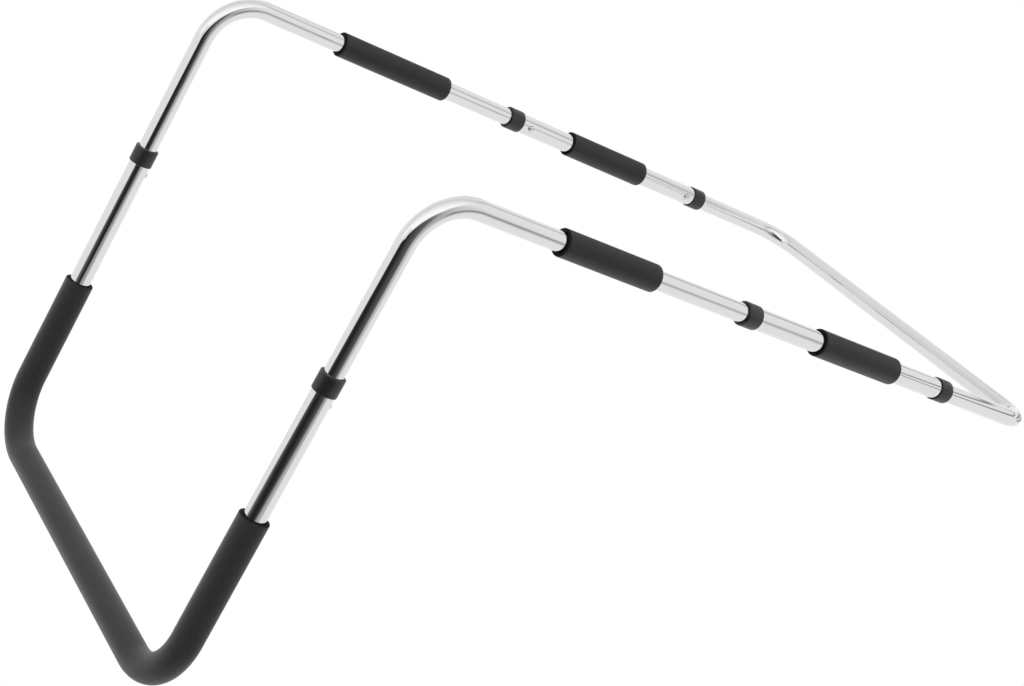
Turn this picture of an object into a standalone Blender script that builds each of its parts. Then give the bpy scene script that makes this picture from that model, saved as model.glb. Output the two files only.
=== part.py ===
"""A bed rail: a bent tube handle that stands at the side of a bed, on a base of tubes that
lies flat under the mattress. The tubes plug into each other and lock with spring buttons.

Metres. X runs across the rail, Y from the handle to the rear bar, Z up. The origin is on the
surface that the foam sleeves rest on, in the middle of the rail.
"""
from math import cos, pi, radians, sin, tan

import bmesh
import bpy
from mathutils import Matrix, Vector

# Tubes. At each joint the thin tube slides in the thick one.
THIN_TUBE_DIAMETER = 0.0222
THIN_TUBE_WALL = 0.0012
THICK_TUBE_DIAMETER = 0.0254
THICK_TUBE_WALL = 0.0012

# The frame, measured between tube axes.
RAIL_SPACING = 0.556
HANDLE_HEIGHT = 0.6055
BASE_LENGTH = 0.991
HANDLE_BEND_RADIUS = 0.073
ELBOW_BEND_RADIUS = 0.059
REAR_BEND_RADIUS = 0.044

# Joints. The upright's are heights over the base tubes' axis, and the base's are distances
# behind the uprights' axis.
UPRIGHT_BUTTON_HEIGHT = 0.2417
FRONT_BUTTON_DISTANCE = 0.4805
REAR_BUTTON_DISTANCE = 0.782
UPRIGHT_MOUTH_TO_BUTTON = 0.0318
BASE_MOUTH_TO_BUTTON = 0.0336
TIP_PAST_BUTTON = 0.035
HEIGHT_HOLES = 7
HEIGHT_HOLE_PITCH = 0.020

# Spring buttons, measured outwards from their tube's axis.
BUTTON_DIAMETER = 0.008
BUTTON_TOP = 0.0156
BUTTON_DOME_HEIGHT = 0.002
BUTTON_FLANGE_DIAMETER = 0.0096
BUTTON_FLANGE_TOP = 0.0082
BUTTON_FLANGE_THICKNESS = 0.001
RIVET_DIAMETER = 0.0032
RIVET_HEAD_DIAMETER = 0.0048
RIVET_HEAD_THICKNESS = 0.0006

# Clip springs: a strip bent to a V, whose closed end points up its tube.
SPRING_WIDTH = 0.0072
SPRING_THICKNESS = 0.0008
SPRING_LENGTH = 0.039
SPRING_PAD_LENGTH = 0.011
SPRING_BEND_RADIUS = 0.0026

# Collars over the thick tubes' ends.
COLLAR_LENGTH = 0.021
COLLAR_DIAMETER = 0.0284
COLLAR_LIP = 0.0012
COLLAR_ROUNDING = 0.0008

# Foam.
GRIP_DIAMETER = 0.035
LEFT_GRIP_END_HEIGHT = 0.3802
RIGHT_GRIP_END_HEIGHT = 0.3968
FRONT_SLEEVE_DIAMETER = 0.031
FRONT_SLEEVE_START = 0.1689
LEFT_FRONT_SLEEVE_LENGTH = 0.1349
RIGHT_FRONT_SLEEVE_LENGTH = 0.1675
MIDDLE_SLEEVE_DIAMETER = 0.0328
LEFT_MIDDLE_SLEEVE_START = 0.5743
RIGHT_MIDDLE_SLEEVE_START = 0.5568
MIDDLE_SLEEVE_LENGTH = 0.137
FOAM_ROUNDING = 0.0012

# Clearances.
FIT = 0.0003
FOAM_FIT = 0.0003

# Facets.
TUBE_SIDES = 20
BUTTON_SIDES = 16
BEND_STEPS = 8
CORNER_STEPS = 2
DOME_STEPS = 4

# Half a facet's turn puts a flat face, and not an edge, at each side of a round piece. A flat
# lies nearer to the axis than the edges do, by this factor.
FLAT_TURN = pi / TUBE_SIDES
FLAT_FACTOR = cos(FLAT_TURN)

# Places that follow from the sizes.
RAIL_X = RAIL_SPACING / 2
BASE_Z = MIDDLE_SLEEVE_DIAMETER / 2 * FLAT_FACTOR
FRONT_Y = -(BASE_LENGTH + (THIN_TUBE_DIAMETER - GRIP_DIAMETER) / 2 * FLAT_FACTOR) / 2
HANDLE_MOUTH_HEIGHT = UPRIGHT_BUTTON_HEIGHT - UPRIGHT_MOUTH_TO_BUTTON
FRONT_MOUTH_DISTANCE = FRONT_BUTTON_DISTANCE - BASE_MOUTH_TO_BUTTON
REAR_MOUTH_DISTANCE = REAR_BUTTON_DISTANCE + BASE_MOUTH_TO_BUTTON
HOLE_DIAMETER = BUTTON_DIAMETER + 2 * FIT
THIN_BORE_FLAT = THIN_TUBE_DIAMETER / 2 * FLAT_FACTOR - THIN_TUBE_WALL

# Colours, with roughness and metallic.
LOOKS = {
    "chrome": ((0.78, 0.79, 0.80, 1.0), 0.10, 1.0),
    "foam": ((0.045, 0.040, 0.041, 1.0), 0.90, 0.0),
    "collar": ((0.018, 0.017, 0.018, 1.0), 0.45, 0.0),
    "button": ((0.62, 0.62, 0.61, 1.0), 0.28, 1.0),
    "spring": ((0.36, 0.36, 0.37, 1.0), 0.38, 1.0),
}


def material(name, look):
    colour, roughness, metallic = LOOKS[look]
    made = bpy.data.materials.new(name)
    made.use_nodes = True
    shader = made.node_tree.nodes["Principled BSDF"]
    shader.inputs["Base Color"].default_value = colour
    shader.inputs["Roughness"].default_value = roughness
    shader.inputs["Metallic"].default_value = metallic
    made.diffuse_color = colour
    return made


def add_piece(name, mesh, look, parent, location=(0, 0, 0), rotation=(0, 0, 0)):
    """Put a mesh in the scene as a piece, under the empty that its section moves with."""
    piece = bpy.data.objects.new(name, mesh)
    rail_collection.objects.link(piece)
    piece.parent = parent
    piece.location = Vector(location) - parent.location
    piece.rotation_euler = rotation
    mesh.materials.clear()
    mesh.materials.append(material(name, look))
    return piece


def add_section(name, location):
    empty = bpy.data.objects.new(name, None)
    empty.empty_display_size = 0.05
    empty.location = location
    rail_collection.objects.link(empty)
    return empty


def bent_path(corners, bend_radius):
    """Points along a tube's axis, with each inner corner bent to the radius."""
    points = [Vector(corners[0])]
    for before, corner, after in zip(corners, corners[1:], corners[2:]):
        corner = Vector(corner)
        incoming = (corner - Vector(before)).normalized()
        outgoing = (Vector(after) - corner).normalized()
        turn = incoming.angle(outgoing)
        start = corner - incoming * bend_radius * tan(turn / 2)
        inwards = (outgoing - incoming * incoming.dot(outgoing)).normalized()
        for step in range(BEND_STEPS + 1):
            angle = turn * step / BEND_STEPS
            along = incoming * sin(angle)
            across = inwards * (1 - cos(angle))
            points.append(start + (along + across) * bend_radius)
    points.append(Vector(corners[-1]))
    return points


def mesh_from_curve(name, curve):
    """Turn a curve into a mesh, with its faces pointing out."""
    guide = bpy.data.objects.new(name + "_guide", curve)
    rail_collection.objects.link(guide)
    bpy.context.view_layer.update()
    evaluated = guide.evaluated_get(bpy.context.evaluated_depsgraph_get())
    mesh = bpy.data.meshes.new_from_object(evaluated)
    mesh.name = name
    bpy.data.objects.remove(guide)
    shape = bmesh.new()
    shape.from_mesh(mesh)
    bmesh.ops.remove_doubles(shape, verts=shape.verts, dist=0.00001)
    bmesh.ops.recalc_face_normals(shape, faces=shape.faces)
    shape.to_mesh(mesh)
    shape.free()
    return mesh


def smooth(mesh):
    mesh.shade_smooth()
    mesh.set_sharp_from_angle(angle=radians(35))


def tube_surface(name, path, diameter):
    """The outer skin of a tube along a path, open at both ends."""
    curve = bpy.data.curves.new(name, "CURVE")
    curve.dimensions = "3D"
    curve.bevel_depth = diameter / 2
    curve.bevel_resolution = (TUBE_SIDES - 4) // 2
    spline = curve.splines.new("POLY")
    spline.points.add(len(path) - 1)
    for point, place in zip(spline.points, path):
        point.co = (*place, 1)
        point.tilt = FLAT_TURN
    mesh = mesh_from_curve(name, curve)
    smooth(mesh)
    return mesh


def add_wall(piece, thickness):
    """Thicken a skin inwards."""
    wall = piece.modifiers.new("Wall", "SOLIDIFY")
    wall.thickness = thickness
    wall.offset = -1
    wall.use_even_offset = True
    wall.use_rim = True


def round_ends(piece, width):
    bevel = piece.modifiers.new("Round ends", "BEVEL")
    bevel.width = width
    bevel.segments = CORNER_STEPS
    bevel.limit_method = "ANGLE"
    bevel.angle_limit = radians(60)


def turned(name, profile, sides, closed):
    """A mesh that holds a turned piece's profile, and the Screw settings that it needs."""
    mesh = bpy.data.meshes.new(name)
    shape = bmesh.new()
    points = [shape.verts.new((radius, 0, height)) for radius, height in profile]
    for first, second in zip(points, points[1:]):
        shape.edges.new((first, second))
    if closed:
        shape.edges.new((points[-1], points[0]))
    shape.to_mesh(mesh)
    shape.free()
    return mesh


def add_screw(piece, sides):
    screw = piece.modifiers.new("Turn", "SCREW")
    screw.axis = "Z"
    screw.angle = 2 * pi
    screw.steps = sides
    screw.render_steps = sides
    screw.use_merge_vertices = True
    screw.merge_threshold = 0.00001
    screw.use_smooth_shade = True


def rounded_corner(radius, height, rounding, start, end):
    """Points of a quarter circle in a profile, about a centre, from one angle to another."""
    points = []
    for step in range(CORNER_STEPS + 1):
        angle = radians(start + (end - start) * step / CORNER_STEPS)
        points.append((radius + rounding * cos(angle), height + rounding * sin(angle)))
    return points


def sleeve_profile(outer_radius, bore_radius, length, rounding):
    """A foam tube from height 0 to its length, with its outer edges rounded."""
    edge = outer_radius - rounding
    profile = rounded_corner(edge, length - rounding, rounding, 90, 0)
    profile += rounded_corner(edge, rounding, rounding, 0, -90)
    profile += [(bore_radius, 0), (bore_radius, length)]
    return profile


def collar_profile():
    """A collar from height 0, with a lip that turns in over the thick tube's end."""
    outer_radius = COLLAR_DIAMETER / 2
    bore_radius = THICK_TUBE_DIAMETER / 2 + FIT
    lip_radius = THIN_TUBE_DIAMETER / 2 + FIT
    edge = outer_radius - COLLAR_ROUNDING
    profile = rounded_corner(edge, COLLAR_LENGTH - COLLAR_ROUNDING, COLLAR_ROUNDING, 90, 0)
    profile += rounded_corner(edge, COLLAR_ROUNDING, COLLAR_ROUNDING, 0, -90)
    profile += [(lip_radius, 0), (lip_radius, COLLAR_LIP)]
    profile += [(bore_radius, COLLAR_LIP), (bore_radius, COLLAR_LENGTH)]
    return profile


def button_profile():
    """A domed pin with a flange, riveted through the spring's pad under it."""
    radius = BUTTON_DIAMETER / 2
    shoulder = BUTTON_TOP - BUTTON_DOME_HEIGHT
    flange_bottom = BUTTON_FLANGE_TOP - BUTTON_FLANGE_THICKNESS
    head_top = flange_bottom - SPRING_THICKNESS - 2 * FIT
    profile = []
    for step in range(DOME_STEPS + 1):
        angle = radians(90 * step / DOME_STEPS)
        profile.append((radius * sin(angle), shoulder + BUTTON_DOME_HEIGHT * cos(angle)))
    profile += [(radius, BUTTON_FLANGE_TOP)]
    profile += [(BUTTON_FLANGE_DIAMETER / 2, BUTTON_FLANGE_TOP)]
    profile += [(BUTTON_FLANGE_DIAMETER / 2, flange_bottom)]
    profile += [(RIVET_DIAMETER / 2, flange_bottom), (RIVET_DIAMETER / 2, head_top)]
    profile += [(RIVET_HEAD_DIAMETER / 2, head_top)]
    profile += [(RIVET_HEAD_DIAMETER / 2, head_top - RIVET_HEAD_THICKNESS)]
    profile += [(0, head_top - RIVET_HEAD_THICKNESS)]
    return profile


def add_hole_cutter(name, places, outwards, diameter, depth_from, depth_to):
    """Round holes through one wall of a tube, as one object that a Boolean cuts with.

    Each place is on the tube's axis, and the holes run outwards from it."""
    mesh = bpy.data.meshes.new(name)
    shape = bmesh.new()
    turn = Vector((0, 0, 1)).rotation_difference(Vector(outwards)).to_matrix().to_4x4()
    middle = Matrix.Translation((0, 0, (depth_from + depth_to) / 2))
    for place in places:
        bmesh.ops.create_cone(
            shape,
            cap_ends=True,
            segments=BUTTON_SIDES,
            radius1=diameter / 2,
            radius2=diameter / 2,
            depth=depth_to - depth_from,
            matrix=Matrix.Translation(place) @ turn @ middle,
        )
    shape.to_mesh(mesh)
    shape.free()
    cutter = bpy.data.objects.new(name, mesh)
    cutter.hide_render = True
    cutter.display_type = "WIRE"
    cutter_collection.objects.link(cutter)
    return cutter


def cut(piece, cutter):
    boolean = piece.modifiers.new(cutter.name, "BOOLEAN")
    boolean.operation = "DIFFERENCE"
    boolean.solver = "EXACT"
    boolean.object = cutter


def spring_path():
    """The strip's middle line, seen from the side: X up the tube, Y out to the button."""
    pad = BUTTON_FLANGE_TOP - BUTTON_FLANGE_THICKNESS - FIT - SPRING_THICKNESS / 2
    half_width = SPRING_WIDTH / 2
    reach = THIN_BORE_FLAT - FIT
    back = -((reach**2 - half_width**2) ** 0.5 - SPRING_THICKNESS / 2)
    end = -SPRING_PAD_LENGTH / 2
    bend_x = SPRING_LENGTH - SPRING_BEND_RADIUS
    points = [(end, pad), (-end, pad)]
    for step in range(5):
        angle = radians(90 - 180 * step / 4)
        across = back + SPRING_BEND_RADIUS + SPRING_BEND_RADIUS * sin(angle)
        points.append((bend_x + SPRING_BEND_RADIUS * cos(angle), across))
    points.append((end, back))
    return points


def spring_mesh(name):
    curve = bpy.data.curves.new(name, "CURVE")
    curve.dimensions = "2D"
    curve.fill_mode = "NONE"
    curve.extrude = SPRING_WIDTH / 2
    path = spring_path()
    spline = curve.splines.new("POLY")
    spline.points.add(len(path) - 1)
    for point, (along, out) in zip(spline.points, path):
        point.co = (along, out, 0, 1)
    return mesh_from_curve(name, curve)


# The scene is emptied, and the rail gets one collection for its pieces and one for cutters.
for old in list(bpy.data.objects):
    bpy.data.objects.remove(old)
rail_collection = bpy.data.collections.new("bed_rail")
cutter_collection = bpy.data.collections.new("cutters")
bpy.context.scene.collection.children.link(rail_collection)
bpy.context.scene.collection.children.link(cutter_collection)

# Four sections, which slide on each other's tubes.
elbow_section = add_section("elbow_section", (0, FRONT_Y, BASE_Z))
handle_section = add_section("handle_section", (0, FRONT_Y, BASE_Z + HANDLE_MOUTH_HEIGHT))
middle_section = add_section("middle_section", (0, FRONT_Y + FRONT_MOUTH_DISTANCE, BASE_Z))
rear_section = add_section("rear_section", (0, FRONT_Y + REAR_MOUTH_DISTANCE, BASE_Z))

SIDES = {"left": -1, "right": 1}
handle_places = []
for side in SIDES.values():
    for number in range(HEIGHT_HOLES):
        height = UPRIGHT_BUTTON_HEIGHT + number * HEIGHT_HOLE_PITCH
        handle_places.append((side * RAIL_X, FRONT_Y, BASE_Z + height))

# The handle: a thick tube bent twice, whose legs slide over the uprights. The holes that set
# its height face the rear.
thick_radius = THICK_TUBE_DIAMETER / 2
thin_radius = THIN_TUBE_DIAMETER / 2
handle_corners = [
    (-RAIL_X, FRONT_Y, BASE_Z + HANDLE_MOUTH_HEIGHT),
    (-RAIL_X, FRONT_Y, BASE_Z + HANDLE_HEIGHT),
    (RAIL_X, FRONT_Y, BASE_Z + HANDLE_HEIGHT),
    (RAIL_X, FRONT_Y, BASE_Z + HANDLE_MOUTH_HEIGHT),
]
local = [Vector(corner) - handle_section.location for corner in handle_corners]
handle_mesh = tube_surface("handle_tube", bent_path(local, HANDLE_BEND_RADIUS), THICK_TUBE_DIAMETER)
handle_tube = add_piece("handle_tube", handle_mesh, "chrome", handle_section, handle_section.location)
add_wall(handle_tube, THICK_TUBE_WALL)
handle_holes = add_hole_cutter(
    "handle_holes",
    handle_places,
    (0, 1, 0),
    HOLE_DIAMETER,
    thick_radius - 2 * THICK_TUBE_WALL,
    thick_radius + THICK_TUBE_WALL,
)
cut(handle_tube, handle_holes)

# The foam over the handle follows the same bends.
grip_corners = [Vector(corner) for corner in local]
grip_corners[0].z = LEFT_GRIP_END_HEIGHT - HANDLE_MOUTH_HEIGHT
grip_corners[-1].z = RIGHT_GRIP_END_HEIGHT - HANDLE_MOUTH_HEIGHT
grip_mesh = tube_surface("handle_grip", bent_path(grip_corners, HANDLE_BEND_RADIUS), GRIP_DIAMETER)
handle_grip = add_piece("handle_grip", grip_mesh, "foam", handle_section, handle_section.location)
add_wall(handle_grip, (GRIP_DIAMETER - THICK_TUBE_DIAMETER) / 2 * FLAT_FACTOR - FOAM_FIT)
round_ends(handle_grip, FOAM_ROUNDING)

# The rear tube: a thin tube bent twice, whose legs plug into the middle tubes.
rear_tip = REAR_BUTTON_DISTANCE - TIP_PAST_BUTTON
rear_corners = [
    (-RAIL_X, rear_tip - REAR_MOUTH_DISTANCE, 0),
    (-RAIL_X, BASE_LENGTH - REAR_MOUTH_DISTANCE, 0),
    (RAIL_X, BASE_LENGTH - REAR_MOUTH_DISTANCE, 0),
    (RAIL_X, rear_tip - REAR_MOUTH_DISTANCE, 0),
]
rear_mesh = tube_surface("rear_tube", bent_path(rear_corners, REAR_BEND_RADIUS), THIN_TUBE_DIAMETER)
rear_tube = add_piece("rear_tube", rear_mesh, "chrome", rear_section, rear_section.location)
add_wall(rear_tube, THIN_TUBE_WALL)

for name, side in SIDES.items():
    rail = Vector((side * RAIL_X, FRONT_Y, BASE_Z))
    upright_button = rail + Vector((0, 0, UPRIGHT_BUTTON_HEIGHT))
    front_button = rail + Vector((0, FRONT_BUTTON_DISTANCE, 0))
    rear_button = rail + Vector((0, REAR_BUTTON_DISTANCE, 0))
    inwards = Vector((-side, 0, 0))
    rearwards = Vector((0, 1, 0))
    wall_from = thin_radius - 3 * THIN_TUBE_WALL
    wall_to = thin_radius + THIN_TUBE_WALL

    # The elbow tube: the upright that the handle stands on, bent into the base.
    elbow_corners = [
        (0, 0, UPRIGHT_BUTTON_HEIGHT + TIP_PAST_BUTTON),
        (0, 0, 0),
        (0, FRONT_BUTTON_DISTANCE + TIP_PAST_BUTTON, 0),
    ]
    elbow_name = name + "_elbow_tube"
    elbow_mesh = tube_surface(elbow_name, bent_path(elbow_corners, ELBOW_BEND_RADIUS), THIN_TUBE_DIAMETER)
    elbow_tube = add_piece(elbow_name, elbow_mesh, "chrome", elbow_section, rail)
    add_wall(elbow_tube, THIN_TUBE_WALL)
    upright_hole = add_hole_cutter(
        name + "_upright_hole", [upright_button], rearwards, HOLE_DIAMETER, wall_from, wall_to
    )
    front_hole = add_hole_cutter(
        name + "_front_hole", [front_button], inwards, HOLE_DIAMETER, wall_from, wall_to
    )
    cut(elbow_tube, upright_hole)
    cut(elbow_tube, front_hole)

    # The middle tube, open at both ends.
    middle_name = name + "_middle_tube"
    middle_path = [Vector((0, 0, 0)), Vector((0, REAR_MOUTH_DISTANCE - FRONT_MOUTH_DISTANCE, 0))]
    middle_mesh = tube_surface(middle_name, middle_path, THICK_TUBE_DIAMETER)
    middle_start = rail + Vector((0, FRONT_MOUTH_DISTANCE, 0))
    middle_tube = add_piece(middle_name, middle_mesh, "chrome", middle_section, middle_start)
    add_wall(middle_tube, THICK_TUBE_WALL)
    middle_holes = add_hole_cutter(
        name + "_middle_holes",
        [front_button, rear_button],
        inwards,
        HOLE_DIAMETER,
        thick_radius - 2 * THICK_TUBE_WALL,
        thick_radius + THICK_TUBE_WALL,
    )
    cut(middle_tube, middle_holes)

    # The rear tube's own hole on this side.
    rear_hole = add_hole_cutter(
        name + "_rear_hole", [rear_button], inwards, HOLE_DIAMETER, wall_from, wall_to
    )
    cut(rear_tube, rear_hole)

    # Collars: one under the handle's leg and one on each end of the middle tube. A collar
    # reaches past its tube's end by its lip and the fit.
    past_end = COLLAR_LIP + FIT
    collars = {
        "_handle_collar": (rail + Vector((0, 0, HANDLE_MOUTH_HEIGHT - past_end)), 0, handle_section),
        "_front_collar": (rail + Vector((0, FRONT_MOUTH_DISTANCE - past_end, 0)), -90, middle_section),
        "_rear_collar": (rail + Vector((0, REAR_MOUTH_DISTANCE + past_end, 0)), 90, middle_section),
    }
    for ending, (place, lean, section) in collars.items():
        mesh = turned(name + ending, collar_profile(), TUBE_SIDES, True)
        turn = Matrix.Rotation(radians(lean), 3, "X") @ Matrix.Rotation(FLAT_TURN, 3, "Z")
        collar = add_piece(name + ending, mesh, "collar", section, place, turn.to_euler())
        add_screw(collar, TUBE_SIDES)

    # Foam sleeves, on the elbow tube and on the middle tube.
    if side < 0:
        front_length = LEFT_FRONT_SLEEVE_LENGTH
        middle_sleeve_start = LEFT_MIDDLE_SLEEVE_START
    else:
        front_length = RIGHT_FRONT_SLEEVE_LENGTH
        middle_sleeve_start = RIGHT_MIDDLE_SLEEVE_START
    sleeves = {
        "_front_sleeve": (
            FRONT_SLEEVE_START,
            sleeve_profile(FRONT_SLEEVE_DIAMETER / 2, thin_radius + FOAM_FIT, front_length, FOAM_ROUNDING),
            elbow_section,
        ),
        "_middle_sleeve": (
            middle_sleeve_start,
            sleeve_profile(
                MIDDLE_SLEEVE_DIAMETER / 2, thick_radius + FOAM_FIT, MIDDLE_SLEEVE_LENGTH, FOAM_ROUNDING
            ),
            middle_section,
        ),
    }
    for ending, (start, profile, section) in sleeves.items():
        mesh = turned(name + ending, profile, TUBE_SIDES, True)
        turn = Matrix.Rotation(radians(-90), 3, "X") @ Matrix.Rotation(FLAT_TURN, 3, "Z")
        place = rail + Vector((0, start, 0))
        sleeve = add_piece(name + ending, mesh, "foam", section, place, turn.to_euler())
        add_screw(sleeve, TUBE_SIDES)

    # Spring buttons, each riveted to the clip spring in its tube. The first direction runs
    # up the tube from the button, the second out through the wall.
    clips = {
        "_upright": (upright_button, Vector((0, 0, -1)), rearwards, elbow_section),
        "_front": (front_button, Vector((0, -1, 0)), inwards, elbow_section),
        "_rear": (rear_button, Vector((0, 1, 0)), inwards, rear_section),
    }
    for ending, (place, along, out, section) in clips.items():
        button_name = name + ending + "_button"
        button_turn = Matrix((along, out.cross(along), out)).transposed()
        mesh = turned(button_name, button_profile(), BUTTON_SIDES, False)
        button = add_piece(button_name, mesh, "button", section, place, button_turn.to_euler())
        add_screw(button, BUTTON_SIDES)

        spring_name = name + ending + "_clip_spring"
        spring_turn = Matrix((along, out, along.cross(out))).transposed()
        spring = add_piece(
            spring_name, spring_mesh(spring_name), "spring", section, place, spring_turn.to_euler()
        )
        strip = spring.modifiers.new("Strip", "SOLIDIFY")
        strip.thickness = SPRING_THICKNESS
        strip.offset = 0
        strip.use_even_offset = True
        rivet_hole = add_hole_cutter(
            name + ending + "_rivet_hole",
            [place],
            out,
            RIVET_DIAMETER + 2 * FIT,
            BUTTON_FLANGE_TOP - BUTTON_FLANGE_THICKNESS - FIT - 2 * SPRING_THICKNESS,
            BUTTON_FLANGE_TOP - BUTTON_FLANGE_THICKNESS + SPRING_THICKNESS,
        )
        cut(spring, rivet_hole)
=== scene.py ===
import math

import bpy
from mathutils import Matrix, Vector


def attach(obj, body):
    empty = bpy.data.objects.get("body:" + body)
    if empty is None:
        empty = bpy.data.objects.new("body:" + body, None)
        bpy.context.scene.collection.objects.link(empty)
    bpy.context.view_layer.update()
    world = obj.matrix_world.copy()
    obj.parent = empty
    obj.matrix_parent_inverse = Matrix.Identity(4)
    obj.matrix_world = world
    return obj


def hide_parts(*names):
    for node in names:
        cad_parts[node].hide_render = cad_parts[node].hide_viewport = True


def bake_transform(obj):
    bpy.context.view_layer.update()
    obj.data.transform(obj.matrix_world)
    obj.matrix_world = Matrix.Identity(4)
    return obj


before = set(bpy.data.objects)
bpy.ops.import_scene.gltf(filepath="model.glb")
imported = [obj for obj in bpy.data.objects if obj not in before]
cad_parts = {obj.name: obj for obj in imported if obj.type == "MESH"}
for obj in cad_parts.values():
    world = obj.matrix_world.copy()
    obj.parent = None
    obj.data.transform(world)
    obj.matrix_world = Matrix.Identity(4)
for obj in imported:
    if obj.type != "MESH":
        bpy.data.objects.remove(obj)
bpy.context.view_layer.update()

# The rail's own sizes in metres. A height is over the base tubes' axis, and a distance is
# behind the uprights' axis.
rail = {
    "spacing": 0.556,
    "handleHeight": 0.6055,
    "handleBend": 0.073,
    "baseLength": 0.991,
    "frontY": -0.492339,
    "baseZ": 0.016198,
    "thinTube": 0.0222,
    "thickTube": 0.0254,
    "wall": 0.0012,
    "uprightButton": 0.2417,
    "frontButton": 0.4805,
    "rearButton": 0.782,
    "uprightMouth": 0.2099,
    "frontMouth": 0.4469,
    "rearMouth": 0.8156,
    "tipPastButton": 0.035,
}
sides = {"left": -1, "right": 1}
upward = Vector((0, 0, 1))
rearward = Vector((0, 1, 0))
rightward = Vector((1, 0, 0))


def railPoint(side, distance=0.0, height=0.0):
    across = side * rail["spacing"] / 2
    return Vector((across, rail["frontY"] + distance, rail["baseZ"] + height))


white = (1.0, 1.0, 1.0, 1.0)


def opaque(colour):
    return (*colour, 1.0)


def newGroup(name, inputs, outputs):
    group = bpy.data.node_groups.new(name, "ShaderNodeTree")
    for title, value in inputs.items():
        socket = group.interface.new_socket(
            name=title, in_out="INPUT", socket_type="NodeSocketFloat"
        )
        socket.default_value = value
    for title in outputs:
        group.interface.new_socket(name=title, in_out="OUTPUT", socket_type="NodeSocketFloat")
    given = group.nodes.new("NodeGroupInput").outputs
    wanted = group.nodes.new("NodeGroupOutput").inputs
    return group, given, wanted


def addNode(tree, kind, settings=None, **inputs):
    # an input is named with _ for a space, and a numbered one is given as _0, _1 and so on
    node = tree.nodes.new(kind)
    for name, value in (settings or {}).items():
        setattr(node, name, value)
    for name, value in inputs.items():
        numbered = name[1:].isdigit()
        socket = node.inputs[int(name[1:]) if numbered else name.replace("_", " ")]
        if isinstance(value, bpy.types.NodeSocket):
            tree.links.new(value, socket)
        else:
            socket.default_value = value
    return node


def addGroup(tree, group, **values):
    node = tree.nodes.new("ShaderNodeGroup")
    node.node_tree = group
    for name, value in values.items():
        node.inputs[name].default_value = value
    return node.outputs


def addMath(tree, operation, *values):
    inputs = {f"_{number}": value for number, value in enumerate(values)}
    return addNode(tree, "ShaderNodeMath", {"operation": operation}, **inputs).outputs[0]


def surfacePlace(tree):
    return addNode(tree, "ShaderNodeTexCoord").outputs["Object"]


def easeBetween(tree, value, low, high):
    # 0 at low, 1 at high, and smooth between them
    ease = addNode(
        tree, "ShaderNodeMapRange", {"interpolation_type": "SMOOTHSTEP"},
        Value=value, From_Min=low, From_Max=high,
    )
    return ease.outputs[0]


def mixColours(tree, share, first, second):
    # the Mix node's colours are its inputs 6 and 7, and its output 2
    mix = addNode(tree, "ShaderNodeMix", {"data_type": "RGBA"}, _0=share, _6=first, _7=second)
    return mix.outputs[2]


def newMaterial(name, colour, roughness, metallic=0.0):
    made = bpy.data.materials.new(name)
    made.use_nodes = True
    shader = made.node_tree.nodes["Principled BSDF"]
    shader.inputs["Base Color"].default_value = opaque(colour)
    shader.inputs["Roughness"].default_value = roughness
    shader.inputs["Metallic"].default_value = metallic
    made.diffuse_color = opaque(colour)
    return made, made.node_tree, shader


def setRoughness(tree, shader, value, look, low=0.0, high=1.0):
    # smooth where the value is low, and rough where it is high
    spread = addNode(
        tree, "ShaderNodeMapRange", Value=value, From_Min=low, From_Max=high,
        To_Min=look["smooth"], To_Max=look["rough"],
    )
    tree.links.new(spread.outputs[0], shader.inputs["Roughness"])


def setBump(tree, shader, height, strength, depth):
    bump = addNode(tree, "ShaderNodeBump", Strength=strength, Distance=depth, Height=height)
    tree.links.new(bump.outputs[0], shader.inputs["Normal"])


marksMake = {
    "detail": 6.0,
    "roughness": 0.62,
    "fineScale": 420.0,
    "fineDetail": 3.0,
    "fineRoughness": 0.6,
    "driftRange": (0.3, 0.7),
}


def makeHandlingMarks():
    # Mask is 0 where the surface is clean and rises in smeared spots, Drift wanders slowly
    make = marksMake
    group, given, wanted = newGroup(
        "handlingMarks", {"Scale": 20.0, "Reach": 0.5}, ["Mask", "Drift"]
    )
    place = surfacePlace(group)
    broad = addNode(
        group, "ShaderNodeTexNoise", Vector=place,
        Scale=given["Scale"], Detail=make["detail"], Roughness=make["roughness"],
    )
    fine = addNode(
        group, "ShaderNodeTexNoise", Vector=place,
        Scale=make["fineScale"], Detail=make["fineDetail"], Roughness=make["fineRoughness"],
    )
    low = addMath(group, "SUBTRACT", 1.0, given["Reach"])
    rise = easeBetween(group, broad.outputs[0], low, 1.0)
    group.links.new(addMath(group, "MULTIPLY", rise, fine.outputs[0]), wanted["Mask"])
    group.links.new(broad.outputs[0], wanted["Drift"])
    return group


poresMake = {"detail": 4.0, "roughness": 0.65, "cellHeight": 0.6}


def makePores():
    # a skin of small closed cells, Size apart
    make = poresMake
    group, given, wanted = newGroup(
        "pores", {"Size": 0.0006, "Softness": 0.5}, ["Height", "Shade"]
    )
    place = surfacePlace(group)
    scale = addMath(group, "DIVIDE", 1.0, given["Size"])
    cells = addNode(
        group, "ShaderNodeTexVoronoi", {"feature": "SMOOTH_F1"},
        Vector=place, Scale=scale, Smoothness=given["Softness"],
    )
    noise = addNode(
        group, "ShaderNodeTexNoise", Vector=place,
        Scale=scale, Detail=make["detail"], Roughness=make["roughness"],
    )
    height = addMath(
        group, "MULTIPLY_ADD", cells.outputs["Distance"], make["cellHeight"], noise.outputs[0]
    )
    group.links.new(height, wanted["Height"])
    group.links.new(noise.outputs[0], wanted["Shade"])
    return group


handlingMarks = makeHandlingMarks()
pores = makePores()

# polished, with duller spots where it is handled, and not quite even
chromeLook = {
    "colour": (0.73, 0.73, 0.735),
    "dulled": (0.63, 0.63, 0.64),
    "smooth": 0.06,
    "rough": 0.22,
    "markScale": 26.0,
    "markReach": 0.42,
    "waveScale": 45.0,
    "waveDetail": 2.0,
    "waviness": 0.03,
    "waveDepth": 0.0002,
}


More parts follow.
